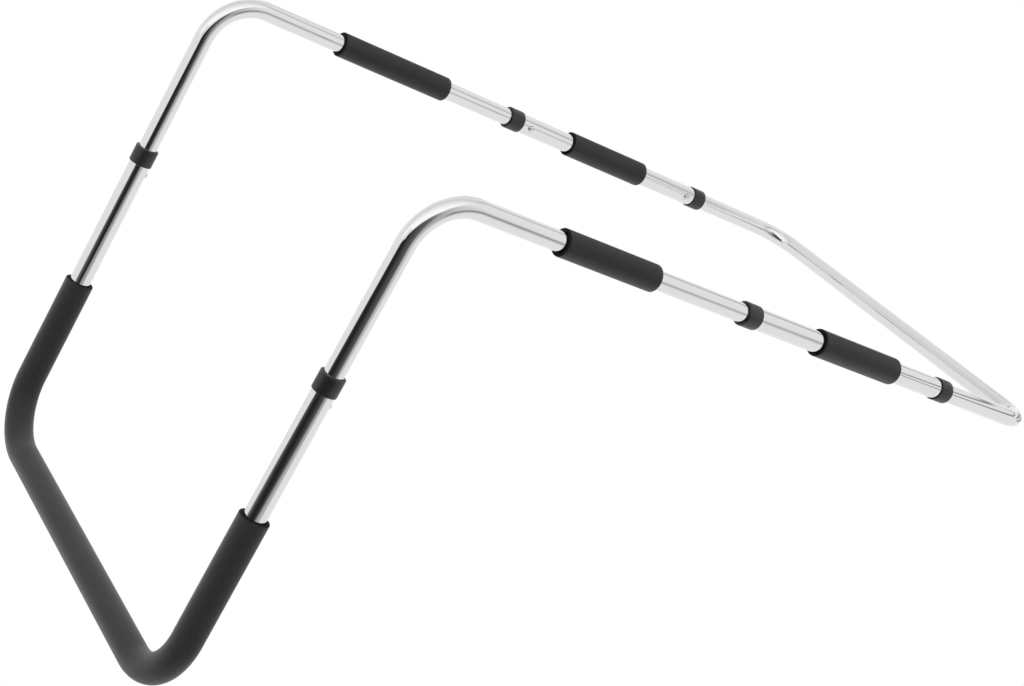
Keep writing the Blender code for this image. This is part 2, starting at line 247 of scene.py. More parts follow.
def makeChrome():
    look = chromeLook
    made, tree, shader = newMaterial("polishedChrome", look["colour"], look["smooth"], metallic=1.0)
    marks = addGroup(tree, handlingMarks, Scale=look["markScale"], Reach=look["markReach"])
    colour = mixColours(tree, marks["Mask"], opaque(look["colour"]), opaque(look["dulled"]))
    tree.links.new(colour, shader.inputs["Base Color"])
    setRoughness(tree, shader, marks["Mask"], look)
    wave = addNode(
        tree, "ShaderNodeTexNoise",
        Vector=surfacePlace(tree), Scale=look["waveScale"], Detail=look["waveDetail"],
    )
    setBump(tree, shader, wave.outputs[0], look["waviness"], look["waveDepth"])
    return made


# dull steels: colour, smoothest and roughest finish, and how fine their marks are
steelLooks = {
    "tubeBore": {
        "colour": (0.33, 0.33, 0.34), "smooth": 0.32, "rough": 0.60, "markScale": 60.0,
    },
    "buttonSteel": {
        "colour": (0.66, 0.66, 0.65), "smooth": 0.08, "rough": 0.30, "markScale": 300.0,
    },
    "springSteel": {
        "colour": (0.30, 0.31, 0.33), "smooth": 0.22, "rough": 0.50, "markScale": 120.0,
    },
}


def makeSteel(name):
    look = steelLooks[name]
    made, tree, shader = newMaterial(name, look["colour"], look["smooth"], metallic=1.0)
    marks = addGroup(tree, handlingMarks, Scale=look["markScale"])
    setRoughness(tree, shader, marks["Drift"], look, *marksMake["driftRange"])
    return made


# foam: the moulded skin, and the open cells of a cut end or the bore
foamLooks = {
    "foamSkin": {
        "colour": (0.022, 0.0206, 0.0212),
        "lighter": (0.042, 0.0393, 0.0404),
        "cell": 0.0008,
        "bump": 0.35,
        "specular": 0.30,
        "sheen": 0.40,
    },
    "foamCut": {
        "colour": (0.008, 0.0075, 0.0075),
        "lighter": (0.020, 0.019, 0.019),
        "cell": 0.0011,
        "bump": 0.9,
        "specular": 0.15,
        "sheen": 0.0,
    },
}
# what both have: their tint is the pores' shade, and the slow drift of the marks
foamFinish = {
    "roughness": 0.82,
    "smooth": 0.70,
    "rough": 0.92,
    "cellSoftness": 0.4,
    "poreTint": 0.5,
    "markScale": 14.0,
    "driftTint": 0.6,
    "driftStart": -0.1,
    "bumpDepth": 0.0003,
    "sheenRoughness": 0.45,
}


def makeFoam(name):
    look, finish = foamLooks[name], foamFinish
    made, tree, shader = newMaterial(name, look["colour"], finish["roughness"])
    skin = addGroup(tree, pores, Size=look["cell"], Softness=finish["cellSoftness"])
    marks = addGroup(tree, handlingMarks, Scale=finish["markScale"])
    drift = addMath(
        tree, "MULTIPLY_ADD", marks["Drift"], finish["driftTint"], finish["driftStart"]
    )
    tint = addMath(tree, "MULTIPLY_ADD", skin["Shade"], finish["poreTint"], drift)
    colour = mixColours(tree, tint, opaque(look["colour"]), opaque(look["lighter"]))
    tree.links.new(colour, shader.inputs["Base Color"])
    setRoughness(tree, shader, skin["Shade"], finish)
    setBump(tree, shader, skin["Height"], look["bump"], finish["bumpDepth"])
    shader.inputs["Specular IOR Level"].default_value = look["specular"]
    shader.inputs["Sheen Weight"].default_value = look["sheen"]
    shader.inputs["Sheen Roughness"].default_value = finish["sheenRoughness"]
    return made


collarLook = {
    "colour": (0.016, 0.0155, 0.016),
    "smooth": 0.34,
    "rough": 0.52,
    "grain": 0.0009,
    "grainSoftness": 0.8,
    "markScale": 50.0,
    "bump": 0.12,
    "bumpDepth": 0.0002,
}


def makeCollarPlastic():
    look = collarLook
    made, tree, shader = newMaterial("collarPlastic", look["colour"], look["smooth"])
    skin = addGroup(tree, pores, Size=look["grain"], Softness=look["grainSoftness"])
    marks = addGroup(tree, handlingMarks, Scale=look["markScale"])
    setRoughness(tree, shader, marks["Drift"], look, *marksMake["driftRange"])
    setBump(tree, shader, skin["Height"], look["bump"], look["bumpDepth"])
    return made


chrome = makeChrome()
tubeBore = makeSteel("tubeBore")
buttonSteel = makeSteel("buttonSteel")
springSteel = makeSteel("springSteel")
foamSkin = makeFoam("foamSkin")
foamCut = makeFoam("foamCut")
collarPlastic = makeCollarPlastic()
print("materials made")


def deselectAll():
    bpy.ops.object.select_all(action="DESELECT")
    bpy.context.view_layer.objects.active = None


def pick(piece):
    deselectAll()
    piece.select_set(True)
    bpy.context.view_layer.objects.active = piece


def applyModifier(piece, kind, **settings):
    pick(piece)
    modifier = piece.modifiers.new(kind.title(), kind)
    for name, value in settings.items():
        setattr(modifier, name, value)
    bpy.ops.object.modifier_apply(modifier=modifier.name)


def paint(piece, *materials):
    piece.data.materials.clear()
    for material in materials:
        piece.data.materials.append(material)


def smooth(piece, degrees=40):
    pick(piece)
    bpy.ops.object.shade_smooth_by_angle(angle=math.radians(degrees))


def roundEdges(piece, width, segments, degrees=60):
    # only edges that turn by more than the degrees
    applyModifier(
        piece, "BEVEL", width=width, segments=segments,
        limit_method="ANGLE", angle_limit=math.radians(degrees),
    )


def copyPiece(piece, name, place=Vector(), heading=upward, along=None):
    # a copy with a mesh of its own, whose upward side is turned to the heading. Its x axis is
    # turned to along, where that is given.
    copied = piece.copy()
    copied.data = piece.data.copy()
    copied.name = copied.data.name = name
    bpy.context.scene.collection.objects.link(copied)
    pick(copied)
    copied.location = place
    if along is None:
        copied.rotation_euler = upward.rotation_difference(heading).to_euler()
    else:
        turn = Matrix((along, heading.cross(along), heading)).transposed()
        copied.rotation_euler = turn.to_euler()
    bpy.ops.object.transform_apply(location=True, rotation=True, scale=True)
    return copied


def addRing(name, around, diameter, place=Vector(), heading=upward):
    # a ring of edges across the heading, left in edit mode to be drawn on from
    deselectAll()
    bpy.ops.mesh.primitive_circle_add(
        vertices=around, radius=diameter / 2, location=place,
        rotation=upward.rotation_difference(heading).to_euler(),
    )
    piece = bpy.context.object
    piece.name = piece.data.name = name
    bpy.ops.object.transform_apply(location=True, rotation=True, scale=True)
    bpy.ops.object.mode_set(mode="EDIT")
    bpy.ops.mesh.select_all(action="SELECT")
    return piece


def drawTo(here, there, scale=1.0):
    bpy.ops.mesh.extrude_region_move(
        TRANSFORM_OT_translate={"value": there - here, "orient_type": "GLOBAL"}
    )
    if scale != 1.0:
        bpy.ops.transform.resize(value=(scale, scale, scale), center_override=there)
    return there


def drawAlong(here, there, step):
    # a straight run in steps of about that length
    count = max(1, round((there - here).length / step))
    start = here
    for number in range(1, count + 1):
        here = drawTo(here, start.lerp(there, number / count))
    return there


def bendTo(here, heading, newHeading, radius, steps):
    # spins the ring a quarter turn, and gives the place where the bend ends
    centre = here + newHeading * radius
    bpy.ops.mesh.spin(
        steps=steps, angle=-math.pi / 2, center=centre, axis=heading.cross(newHeading)
    )
    return centre + heading * radius


def closeSkin():
    bpy.ops.mesh.select_all(action="SELECT")
    bpy.ops.mesh.remove_doubles(threshold=0.00001)
    bpy.ops.mesh.normals_make_consistent(inside=False)
    bpy.ops.object.mode_set(mode="OBJECT")


# holeStop is how far before and after each hole's middle the tube's skin has a ring
tubeMake = {
    "around": 96,
    "bendSteps": 36,
    "holeStop": 0.0065,
    "hole": 0.0086,
    "holeAround": 48,
    "drillDepth": 0.006,
}


def drillHoles(piece, places, outward, radius):
    # round holes through one wall: each place is on the axis, and its hole runs outward
    cutters = []
    for place in places:
        deselectAll()
        bpy.ops.mesh.primitive_cylinder_add(
            vertices=tubeMake["holeAround"], radius=tubeMake["hole"] / 2,
            depth=tubeMake["drillDepth"], location=place + outward * (radius - rail["wall"] / 2),
            rotation=upward.rotation_difference(outward).to_euler(),
        )
        cutters.append(bpy.context.object)
    deselectAll()
    for cutter in cutters:
        cutter.select_set(True)
    bpy.context.view_layer.objects.active = cutters[0]
    if len(cutters) > 1:
        bpy.ops.object.join()
    bpy.ops.object.transform_apply(location=True, rotation=True, scale=True)
    cutter = bpy.context.object
    applyModifier(piece, "BOOLEAN", operation="DIFFERENCE", solver="EXACT", object=cutter)
    bpy.data.objects.remove(cutter)


def finishTube(piece, diameter, holes):
    # gives the skin its wall and drills it
    paint(piece, chrome, tubeBore)
    applyModifier(
        piece, "SOLIDIFY", thickness=rail["wall"], offset=-1, use_even_offset=True,
        material_offset=1,
    )
    for places, outward in holes:
        drillHoles(piece, places, outward, diameter / 2)
    smooth(piece)


def makeHandleTube():
    make = {"holes": 7, "holePitch": 0.020}
    bend = rail["handleBend"]
    first, stop = rail["uprightButton"], tubeMake["holeStop"]
    drilled = [first + make["holePitch"] * number for number in range(make["holes"])]
    stops = [height + gap for height in drilled for gap in (-stop, stop)]
    here = railPoint(-1, height=rail["uprightMouth"])
    piece = addRing("handleTube", tubeMake["around"], rail["thickTube"], here, upward)
    for height in stops + [rail["handleHeight"] - bend]:
        here = drawTo(here, railPoint(-1, height=height))
    here = bendTo(here, upward, rightward, bend, tubeMake["bendSteps"])
    here = drawTo(here, here + rightward * (rail["spacing"] - 2 * bend))
    here = bendTo(here, rightward, -upward, bend, tubeMake["bendSteps"])
    for height in stops[::-1] + [rail["uprightMouth"]]:
        here = drawTo(here, railPoint(1, height=height))
    closeSkin()
    places = [railPoint(side, height=height) for side in sides.values() for height in drilled]
    finishTube(piece, rail["thickTube"], [(places, rearward)])
    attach(piece, "handle_section")
    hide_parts("handle_tube")


def makeElbowTubes():
    # one skin in the middle, copied to each side before its holes are drilled
    make = {"bend": 0.059}
    middle = railPoint(0)
    stop = tubeMake["holeStop"]
    here = middle + upward * (rail["uprightButton"] + rail["tipPastButton"])
    skin = addRing("elbowSkin", tubeMake["around"], rail["thinTube"], here, -upward)
    for height in (rail["uprightButton"] + stop, rail["uprightButton"] - stop, make["bend"]):
        here = drawTo(here, middle + upward * height)
    here = bendTo(here, -upward, rearward, make["bend"], tubeMake["bendSteps"])
    front = rail["frontButton"]
    for distance in (front - stop, front + stop, front + rail["tipPastButton"]):
        here = drawTo(here, middle + rearward * distance)
    closeSkin()
    for name, side in sides.items():
        piece = copyPiece(skin, name + "ElbowTube", railPoint(side) - middle)
        uprightHole = ([railPoint(side, height=rail["uprightButton"])], rearward)
        frontHole = ([railPoint(side, front)], rightward * -side)
        finishTube(piece, rail["thinTube"], [uprightHole, frontHole])
        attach(piece, "elbow_section")
        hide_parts(name + "_elbow_tube")
    bpy.data.objects.remove(skin)


def makeMiddleTubes():
    middle = railPoint(0)
    stop = tubeMake["holeStop"]
    here = middle + rearward * rail["frontMouth"]
    skin = addRing("middleSkin", tubeMake["around"], rail["thickTube"], here, rearward)
    buttons = [rail["frontButton"], rail["rearButton"]]
    stops = [button + gap for button in buttons for gap in (-stop, stop)]
    for distance in stops + [rail["rearMouth"]]:
        here = drawTo(here, middle + rearward * distance)
    closeSkin()
    for name, side in sides.items():
        piece = copyPiece(skin, name + "MiddleTube", railPoint(side) - middle)
        places = [railPoint(side, button) for button in buttons]
        finishTube(piece, rail["thickTube"], [(places, rightward * -side)])
        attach(piece, "middle_section")
        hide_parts(name + "_middle_tube")
    bpy.data.objects.remove(skin)


def makeRearTube():
    make = {"bend": 0.044}
    stop = tubeMake["holeStop"]
    tip = rail["rearButton"] - rail["tipPastButton"]
    stops = [rail["rearButton"] - stop, rail["rearButton"] + stop]
    here = railPoint(-1, tip)
    piece = addRing("rearTube", tubeMake["around"], rail["thinTube"], here, rearward)
    for distance in stops + [rail["baseLength"] - make["bend"]]:
        here = drawTo(here, railPoint(-1, distance))
    here = bendTo(here, rearward, rightward, make["bend"], tubeMake["bendSteps"])
    here = drawTo(here, here + rightward * (rail["spacing"] - 2 * make["bend"]))
    here = bendTo(here, rightward, -rearward, make["bend"], tubeMake["bendSteps"])
    for distance in stops[::-1] + [tip]:
        here = drawTo(here, railPoint(1, distance))
    closeSkin()
    holes = [([railPoint(side, rail["rearButton"])], rightward * -side) for side in sides.values()]
    finishTube(piece, rail["thinTube"], holes)
    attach(piece, "rear_section")
    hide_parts("rear_tube")


makeHandleTube()
makeElbowTubes()
makeMiddleTubes()
makeRearTube()
print("tubes made")

foamMake = {"around": 96, "step": 0.006, "rounding": 0.0011, "roundSteps": 4, "smoothAngle": 50}


def finishFoam(piece, wall, body, node):
    # a thick wall with rounded ends
    paint(piece, foamSkin, foamCut)
    applyModifier(
        piece, "SOLIDIFY", thickness=wall, offset=-1, use_even_offset=True,
        material_offset=1, material_offset_rim=1,
    )
    roundEdges(piece, foamMake["rounding"], foamMake["roundSteps"])
    smooth(piece, foamMake["smoothAngle"])
    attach(piece, body)
    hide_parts(node)


def makeGrip():
    make = {"diameter": 0.035, "bore": 0.0260, "leftEnd": 0.3802, "rightEnd": 0.3968}
    bend = rail["handleBend"]
    here = railPoint(-1, height=make["leftEnd"])
    piece = addRing("handleGrip", foamMake["around"], make["diameter"], here, upward)
    top = rail["handleHeight"] - bend
    here = drawAlong(here, railPoint(-1, height=top), foamMake["step"])
    here = bendTo(here, upward, rightward, bend, tubeMake["bendSteps"])
    across = rightward * (rail["spacing"] - 2 * bend)
    here = drawAlong(here, here + across, foamMake["step"])
    here = bendTo(here, rightward, -upward, bend, tubeMake["bendSteps"])
    drawAlong(here, railPoint(1, height=make["rightEnd"]), foamMake["step"])
    closeSkin()
    finishFoam(piece, (make["diameter"] - make["bore"]) / 2, "handle_section", "handle_grip")


# each sleeve's start and length along its rail
sleeveMake = {
    "Front": {
        "diameter": 0.031,
        "bore": 0.0228,
        "left": (0.1689, 0.1349),
        "right": (0.1689, 0.1675),
        "body": "elbow_section",
    },
    "Middle": {
        "diameter": 0.0328,
        "bore": 0.0260,
        "left": (0.5743, 0.137),
        "right": (0.5568, 0.137),
        "body": "middle_section",
    },
}


def makeSleeve(name, side, kind):
    make = sleeveMake[kind]
    start, length = make[name]
    here = railPoint(side, start)
    piece = addRing(name + kind + "Sleeve", foamMake["around"], make["diameter"], here, rearward)
    drawAlong(here, railPoint(side, start + length), foamMake["step"])
    closeSkin()
    node = name + "_" + kind.lower() + "_sleeve"
    finishFoam(piece, (make["diameter"] - make["bore"]) / 2, make["body"], node)


makeGrip()
for name, side in sides.items():
    for kind in sleeveMake:
        makeSleeve(name, side, kind)
print("foam made")

collarMake = {
    "length": 0.021,
    "diameter": 0.0284,
    "lip": 0.0012,
    "pastEnd": 0.0015,
    "lipBore": 0.0228,
    "bore": 0.0260,
    "rounding": 0.0009,
    "roundSteps": 5,
    "around": 96,
}


def makeCollarShape():
    # from the lip's face out, along, in at the far end and back to the lip
    make = collarMake
    bottom, top, lip = Vector(), upward * make["length"], upward * make["lip"]
    piece = addRing("collarShape", make["around"], make["lipBore"])
    here = drawTo(bottom, bottom, make["diameter"] / make["lipBore"])
    here = drawTo(here, top)
    here = drawTo(here, top, make["bore"] / make["diameter"])
    here = drawTo(here, lip)
    here = drawTo(here, lip, make["lipBore"] / make["bore"])
    drawTo(here, bottom)
    closeSkin()
    roundEdges(piece, make["rounding"], make["roundSteps"])
    smooth(piece)
    paint(piece, collarPlastic)
    return piece


def makeCollars():
    shape = makeCollarShape()
    past = collarMake["pastEnd"]
    height = rail["uprightMouth"] - past
    for name, side in sides.items():
        places = {
            "Handle": (railPoint(side, height=height), upward, "handle_section"),
            "Front": (railPoint(side, rail["frontMouth"] - past), rearward, "middle_section"),
            "Rear": (railPoint(side, rail["rearMouth"] + past), -rearward, "middle_section"),
        }
        for kind, (place, heading, body) in places.items():
            piece = copyPiece(shape, name + kind + "Collar", place, heading)
            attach(piece, body)
            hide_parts(name + "_" + kind.lower() + "_collar")
    bpy.data.objects.remove(shape)


makeCollars()
print("collars made")

# heights are outwards from the tube's axis
buttonMake = {
    "diameter": 0.008,
    "top": 0.0156,
    "dome": 0.002,
    "flange": 0.0096,
    "flangeTop": 0.0082,
    "flangeBottom": 0.0072,
    "rivet": 0.0032,
    "head": 0.0048,
    "headTop": 0.0058,
    "headBottom": 0.0052,
    "around": 48,
    "domeRings": 10,
    "crown": 0.0004,
}


def makeButtonShape():
    # a small flat crown, the dome's rings, then the pin, the flange, the rivet and its head
    make = buttonMake
    here = upward * make["top"]
    piece = addRing("buttonShape", make["around"], make["crown"], here)
    bpy.ops.mesh.edge_face_add()
    shoulder = make["top"] - make["dome"]
    profile = []
    for ring in range(1, make["domeRings"] + 1):
        angle = math.pi / 2 * ring / make["domeRings"]
        width = make["diameter"] * math.sin(angle)
        profile.append((width, shoulder + make["dome"] * math.cos(angle)))
    profile += [(make["diameter"], make["flangeTop"]), (make["flange"], make["flangeTop"])]
    profile += [(make["flange"], make["flangeBottom"]), (make["rivet"], make["flangeBottom"])]
    profile += [(make["rivet"], make["headTop"]), (make["head"], make["headTop"])]
    profile += [(make["head"], make["headBottom"])]
    lastWidth = make["crown"]
    for width, height in profile:
        here = drawTo(here, upward * height, width / lastWidth)
        lastWidth = width
    closeSkin()
    smooth(piece)
    paint(piece, buttonSteel)
    return piece


def makeButtons():
    shape = makeButtonShape()
    for name, side in sides.items():
        inward = rightward * -side
        places = {
            "upright": (railPoint(side, height=rail["uprightButton"]), rearward),
            "front": (railPoint(side, rail["frontButton"]), inward),
            "rear": (railPoint(side, rail["rearButton"]), inward),
        }
        for kind, (place, outward) in places.items():
            node = name + "_" + kind + "_button"
            piece = copyPiece(shape, name + kind.title() + "Button", place, outward)
            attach(piece, node)
            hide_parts(node)
    bpy.data.objects.remove(shape)


makeButtons()
print("buttons made")

# A strip bent to a V. Its pad is riveted under the button, its leaf runs up the tube to the bend,
# and its back lies on the far wall. Heights are outwards from the tube's axis.
springMake = {
    "width": 0.0072,
    "thickness": 0.0008,
    "length": 0.039,
    "padLength": 0.011,
    "padHeight": 0.00675,
    "bend": 0.0026,
    "backHeight": -0.0087,
    "leafSteps": 12,
    "bendSteps": 10,
    "backStep": 0.006,
    "rivetHole": 0.0033,
    "holeAround": 32,
    "drillDepth": 0.0032,
    "rounding": 0.00012,
    "roundSteps": 2,
}


def makeSpringShape():
    make = springMake
    half = make["padLength"] / 2
    deselectAll()
    bpy.ops.mesh.primitive_plane_add(size=1.0, location=(0, 0, make["padHeight"]))
    piece = bpy.context.object
    piece.name = piece.data.name = "springShape"
    bpy.ops.object.transform_apply(location=True, rotation=True, scale=True)
    bpy.ops.object.mode_set(mode="EDIT")
    bpy.ops.mesh.select_all(action="SELECT")
    bpy.ops.transform.resize(
        value=(make["padLength"], make["width"], 1.0), center_override=(0, 0, 0)
    )
    bpy.ops.object.mode_set(mode="OBJECT")
    for edge in piece.data.edges:
        edge.select = all(piece.data.vertices[corner].co.x > 0 for corner in edge.vertices)
    for vertex in piece.data.vertices:
        vertex.select = vertex.co.x > 0
    piece.data.polygons[0].select = False
    bpy.ops.object.mode_set(mode="EDIT")
    here = Vector((half, 0, make["padHeight"]))
    centre = Vector((make["length"] - make["bend"], 0, make["backHeight"] + make["bend"]))
    step = (make["length"] - half) / make["leafSteps"]
    here = drawAlong(here, centre + upward * make["bend"], step)
    bpy.ops.mesh.spin(steps=make["bendSteps"], angle=-math.pi, center=centre, axis=rearward)
    here = centre - upward * make["bend"]
    drawAlong(here, Vector((-half, 0, make["backHeight"])), make["backStep"])
    closeSkin()
    applyModifier(piece, "SOLIDIFY", thickness=make["thickness"], offset=0, use_even_offset=True)
    deselectAll()
    bpy.ops.mesh.primitive_cylinder_add(
        vertices=make["holeAround"], radius=make["rivetHole"] / 2, depth=make["drillDepth"],
        location=(0, 0, make["padHeight"]),
    )
    cutter = bpy.context.object
    applyModifier(piece, "BOOLEAN", operation="DIFFERENCE", solver="EXACT", object=cutter)
    bpy.data.objects.remove(cutter)
    roundEdges(piece, make["rounding"], make["roundSteps"])
    smooth(piece)
    paint(piece, springSteel)
    return piece


def makeSprings():
    # each spring is baked in place at rest and attached to no body, though in the rail its back
    # stays with the section and its pad goes in with its button
    shape = makeSpringShape()
    for name, side in sides.items():
        inward = rightward * -side
        uprightPlace = railPoint(side, height=rail["uprightButton"])
        places = {
            "upright": (uprightPlace, rearward, -upward, "elbow_section"),
            "front": (railPoint(side, rail["frontButton"]), inward, -rearward, "elbow_section"),
            "rear": (railPoint(side, rail["rearButton"]), inward, rearward, "rear_section"),
        }
        for kind, (place, outward, along, body) in places.items():
            piece = copyPiece(shape, name + kind.title() + "ClipSpring", place, outward, along)
            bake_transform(piece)
            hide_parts(name + "_" + kind + "_clip_spring")
    bpy.data.objects.remove(shape)


makeSprings()
print("clip springs made")

# The photograph's room, seen from the middle of the elbows: right and ahead are level there.
room = {
    "origin": railPoint(0),
    "right": Vector((-0.482534, 0.745436, -0.459875)),
    "ahead": Vector((0.875877, 0.410673, -0.253354)),
    "up": Vector((0.0, -0.525046, -0.851074)),
}


def roomPoint(right, ahead, up):
    return room["origin"] + room["right"] * right + room["ahead"] * ahead + room["up"] * up


def alongVector(tree, socket, direction):
    # how far a vector runs along a direction
    dot = addNode(
        tree, "ShaderNodeVectorMath", {"operation": "DOT_PRODUCT"}, _0=socket, _1=direction
    )
    return dot.outputs["Value"]


def addRamp(tree, value, stops):
    ramp = addNode(tree, "ShaderNodeValToRGB", _0=value)
    elements = ramp.color_ramp.elements
    while len(elements) < len(stops):
        elements.new(0.5)
    for element, (position, bright) in zip(elements, stops):
        element.position = position
        element.color = opaque((bright, bright, bright))
    return ramp.outputs[0]


def mixShaders(tree, share, first, second):
    return addNode(
        tree, "ShaderNodeMixShader", _0=share, _1=first.outputs[0], _2=second.outputs[0]
    )


floorLook = {
    "size": 30.0,
    "colour": (0.92, 0.92, 0.92),
    "roughness": 0.9,
    "specular": 0.1,
    "fade": (1.2, 5.0),
}


def makeFloor():
    # Pale and solid from above, and clear from below, where the photograph's camera stands. It
    # fades into the white behind it, and the metal mirrors the world in its place.
    look = floorLook
    deselectAll()
    bpy.ops.mesh.primitive_plane_add(size=look["size"])
    floor = bpy.context.object
    floor.name = "floor"
    made, tree, shader = newMaterial("paleFloor", look["colour"], look["roughness"])
    shader.inputs["Specular IOR Level"].default_value = look["specular"]
    distance = addNode(
        tree, "ShaderNodeVectorMath", {"operation": "LENGTH"}, _0=surfacePlace(tree)
    )
    fade = easeBetween(tree, distance.outputs["Value"], *look["fade"])
    shadow = addNode(tree, "ShaderNodeLightPath").outputs["Is Shadow Ray"]
    below = addNode(tree, "ShaderNodeNewGeometry").outputs["Backfacing"]
    unseen = addMath(tree, "MAXIMUM", addMath(tree, "MAXIMUM", shadow, below), fade)
    surface = mixShaders(tree, unseen, shader, addNode(tree, "ShaderNodeBsdfTransparent"))
    tree.links.new(surface.outputs[0], tree.nodes["Material Output"].inputs["Surface"])
    paint(floor, made)
    floor.visible_glossy = floor.visible_transmission = False


# the backdrop curves over the rail, and is a little darker there in what the metal mirrors
worldLook = {
    "fill": 0.52,
    "fillBehind": 0.08,
    "behind": (0.45, 0.9),
    "front": (-0.2, 0.3),
    "stops": ((0.70, 1.0), (0.80, 0.86), (0.90, 0.82), (0.97, 0.93), (1.0, 0.95)),
}


def makeWorld():
    # white where it is seen or mirrored, and a plainer fill for the rest
    look = worldLook
    world = bpy.data.worlds.new("studio")
    bpy.context.scene.world = world
    world.use_nodes = True
    tree = world.node_tree
    direction = addNode(tree, "ShaderNodeTexCoord").outputs["Generated"]
    behind = easeBetween(tree, alongVector(tree, direction, -room["ahead"]), *look["behind"])
    strength = addNode(
        tree, "ShaderNodeMapRange", Value=behind, To_Min=look["fill"], To_Max=look["fillBehind"]
    )
    fill = tree.nodes["Background"]
    fill.inputs["Color"].default_value = white
    tree.links.new(strength.outputs[0], fill.inputs["Strength"])
    height = addNode(
        tree, "ShaderNodeMapRange", Value=alongVector(tree, direction, room["up"]), From_Min=-1.0
    )
    front = easeBetween(tree, alongVector(tree, direction, room["ahead"]), *look["front"])
    shade = mixColours(tree, front, white, addRamp(tree, height.outputs[0], look["stops"]))
    light = addNode(tree, "ShaderNodeLightPath").outputs
    mirrored = addMath(tree, "MAXIMUM", light["Is Glossy Ray"], light["Is Transmission Ray"])
    backdrop = addNode(tree, "ShaderNodeBackground", Color=shade, Strength=1.0)
    plain = addNode(tree, "ShaderNodeBackground", Color=white, Strength=1.0)
    unlit = mixShaders(tree, light["Is Camera Ray"], fill, plain)
    both = mixShaders(tree, mirrored, unlit, backdrop)
    tree.links.new(both.outputs[0], tree.nodes["World Output"].inputs["Surface"])


def greyCard(first, second, height, grey, edge=0.2):
    # plain grey, and white at both ends
    return {
        "first": Vector(first),
        "second": Vector(second),
        "height": height,
        "taper": 1.0,
        "stops": ((0.0, 1.0), (edge, grey), (1 - edge, grey), (1.0, 1.0)),
    }


# Cards that only the metal mirrors. Each stands on the line between two places, and its stops give
# how bright it is from the first to the second, times its strength where it has one.
# Top and bottom draw its soft edges, as shares of its height. Taper does so too: it is the second
# end's height as a share of the first's, and the middle is clear past the place that hollow gives.
# The card with none of these ends above and below the elbows.
cards = {
    "openingBehindCamera": {
        "first": roomPoint(2.82, -3.18, -2.2),
        "second": roomPoint(-1.17, -0.36, -2.2),
        "height": room["up"] * 6.0,
        "top": (
            (0.0, 0.78), (0.3, 0.67), (0.5, 0.58), (0.68, 0.508),
            (0.83, 0.436), (0.92, 0.367), (1.0, 0.325),
        ),
        "bottom": ((0.0, 0.17), (0.3, 0.225), (0.5, 0.258), (0.68, 0.283), (1.0, 0.297)),
        "stops": (
            (0.0, 0.55), (0.19, 0.45), (0.29, 0.36), (0.39, 0.235), (0.49, 0.145), (0.68, 0.08),
            (0.78, 0.02), (0.83, 0.025), (0.88, 0.08), (0.93, 0.22), (0.97, 0.65), (1.0, 1.0),
        ),
    },
    "tableBehindCamera": {
        "first": roomPoint(2.73, -3.30, -2.6),
        "second": roomPoint(-0.71, -0.81, -2.6),
        "height": room["up"] * 3.0,
        "top": ((0.0, 0.80), (1.0, 0.80)),
        "bottom": ((0.0, 0.10), (0.3, 0.27), (0.55, 0.40), (1.0, 0.60)),
        "stops": ((0.0, 0.55), (0.6, 0.55), (0.9, 0.60), (1.0, 1.0)),
    },
    "roomAtRight": {
        "first": roomPoint(2.82, -3.18, -2.2),
        "second": roomPoint(1.55, -0.40, -2.2),
        "height": room["up"] * 6.0,
        "stops": ((0.0, 0.50), (0.35, 0.62), (0.7, 0.80), (1.0, 1.0)),
    },
    "panelEdge": {
        "first": roomPoint(1.12, 0.51, -0.55),
        "second": roomPoint(0.88, 0.92, -0.55),
        "height": room["up"] * 1.5,
        "taper": 1.0,
        "stops": ((0.0, 1.0), (0.03, 0.40), (0.16, 0.52), (0.4, 0.78), (0.7, 0.90), (1.0, 1.0)),
    },
    "panelFoot": {
        "first": roomPoint(1.62, -1.45, -0.97),
        "second": roomPoint(1.12, 0.51, -0.80),
        "height": room["up"] * 0.80,
        "taper": 0.054,
        "hollow": (0.66, 0.74),
        "stops": ((0.0, 0.32), (0.3, 0.42), (0.55, 0.64), (0.66, 0.60), (0.76, 0.25), (1.0, 0.25)),
    },
    "farCardBehind": greyCard(
        (-1.2, 3.5, -0.30), (1.3, 3.5, -0.30), upward * 0.65, grey=0.42, edge=0.15
    ),
    "lowCardBehind": greyCard(
        (-1.2, 3.5, -1.25), (1.3, 3.5, -1.25), upward * 0.75, grey=0.42, edge=0.15
    ),
    "farCardInFront": greyCard((-1.6, -3.5, -0.30), (-0.2, -3.5, -0.30), upward * 0.65, grey=0.2),
    "paleCardAtLeftElbow": greyCard(
        (-0.325, -0.60, 0.026), (-0.279, -0.60, 0.026), upward * 0.055, grey=1.0
    ),
    "paleCardAtRightElbow": greyCard(
        (0.205, -0.60, 0.026), (0.255, -0.60, 0.026), upward * 0.055, grey=1.0
    ),
    "farCardAtRight": greyCard((3.05, 0.78, -0.30), (2.43, 1.68, -0.30), upward * 0.60, grey=0.45),
    "lowCardAtRight": greyCard((3.05, 0.78, -1.60), (2.43, 1.68, -1.60), upward * 0.80, grey=0.42),
    "highCardAtRight": greyCard((7.2, -3.0, 3.4), (7.2, 3.0, 3.4), upward * 3.6, grey=0.2),
    "highCardBehind": greyCard((5.6, -1.0, 6.0), (7.2, 4.5, 6.0), rightward * 1.8, grey=0.2),
    "ceiling": {
        "first": roomPoint(-6.0, -4.2, 2.6),
        "second": roomPoint(-6.0, 4.2, 2.6),
        "height": room["right"] * 12.0,
        "taper": 1.0,
        "strength": 1.3,
        "stops": (
            (0.0, 0.76), (0.1, 0.90), (0.24, 1.0), (0.36, 1.0), (0.46, 0.86),
            (0.57, 0.76), (0.7, 0.62), (0.86, 0.72), (1.0, 0.72),
        ),
    },
}

